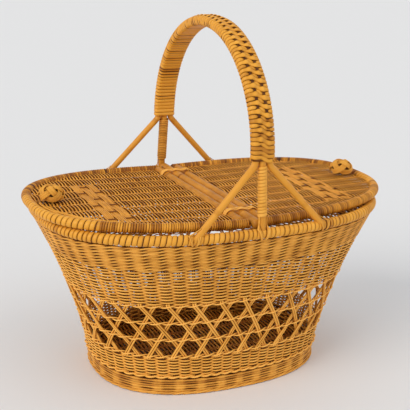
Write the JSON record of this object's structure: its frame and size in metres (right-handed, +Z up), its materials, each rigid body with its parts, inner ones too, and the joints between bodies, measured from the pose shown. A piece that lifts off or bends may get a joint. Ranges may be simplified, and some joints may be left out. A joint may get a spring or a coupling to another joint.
{
  "type": "picnic basket",
  "caption": "Oval rattan picnic basket with flared openwork walls, a wrapped hoop handle and lids that fold up from a middle bar.",
  "frame": {"origin": "middle of the foot, on the ground", "axes": "+X along the length, towards the right lid's knob; +Y across, from front to back; +Z up"},
  "size_m": [0.439, 0.3016, 0.4207],
  "materials": {
    "body_weave": "satin woven cane",
    "rim_cane": "glossy wrapped cane",
    "lid_weave": "satin woven cane",
    "knot_cane": "satin cane strands",
    "tie_cane": "satin split cane",
    "bare_rod": "glossy peeled rod"
  },
  "bodies": {
    "basket": {"foot_border": "body_weave", "lower_weave": "body_weave", "openwork": "body_weave", "upper_weave": "body_weave", "upper_waling": "body_weave", "rim_hoop": "rim_cane", "base_mat": "body_weave", "base_stick_1": "bare_rod", "base_stick_2": "bare_rod", "base_stick_3": "bare_rod", "base_stick_4": "bare_rod", "base_stick_5": "bare_rod", "handle_centre_rod": "bare_rod", "handle_side_rod_left": "bare_rod", "handle_side_rod_right": "bare_rod", "handle_wrap": "rim_cane", "handle_leader_left": "tie_cane", "handle_leader_right": "tie_cane", "leg_wrap_front": "tie_cane", "leg_wrap_back": "tie_cane", "foot_lashing_front_left": "tie_cane", "foot_lashing_front_middle": "tie_cane", "foot_lashing_front_right": "tie_cane", "foot_lashing_back_left": "tie_cane", "foot_lashing_back_middle": "tie_cane", "foot_lashing_back_right": "tie_cane", "hinge_bar": "bare_rod", "hinge_lashing_front": "tie_cane", "hinge_lashing_back": "tie_cane"},
    "right_lid": {"right_lid_hoop": "rim_cane", "right_lid_hinge_rod": "bare_rod", "right_lid_panel": "lid_weave", "right_lid_rib_1": "bare_rod", "right_lid_rib_2": "bare_rod", "right_lid_rib_3": "bare_rod", "right_lid_rib_4": "bare_rod", "right_lid_rib_5": "bare_rod", "right_lid_rib_6": "bare_rod", "right_lid_rib_7": "bare_rod", "right_lid_rib_8": "bare_rod", "right_lid_rib_9": "bare_rod", "right_lid_knob": "knot_cane", "right_lid_knob_tie": "tie_cane"},
    "left_lid": {"left_lid_hoop": "rim_cane", "left_lid_hinge_rod": "bare_rod", "left_lid_panel": "lid_weave", "left_lid_rib_1": "bare_rod", "left_lid_rib_2": "bare_rod", "left_lid_rib_3": "bare_rod", "left_lid_rib_4": "bare_rod", "left_lid_rib_5": "bare_rod", "left_lid_rib_6": "bare_rod", "left_lid_rib_7": "bare_rod", "left_lid_rib_8": "bare_rod", "left_lid_rib_9": "bare_rod", "left_lid_knob": "knot_cane", "left_lid_knob_tie": "tie_cane"}
  },
  "joints": [
    {"name": "right_lid_hinge", "type": "hinge", "parent": "basket", "child": "right_lid", "pos_m": [0.0135, 0, 0.2084], "axis": [0, -1, 0], "range_deg": [0, 80]},
    {"name": "left_lid_hinge", "type": "hinge", "parent": "basket", "child": "left_lid", "pos_m": [-0.0135, 0, 0.2084], "axis": [0, 1, 0], "range_deg": [0, 80]}
  ]
}
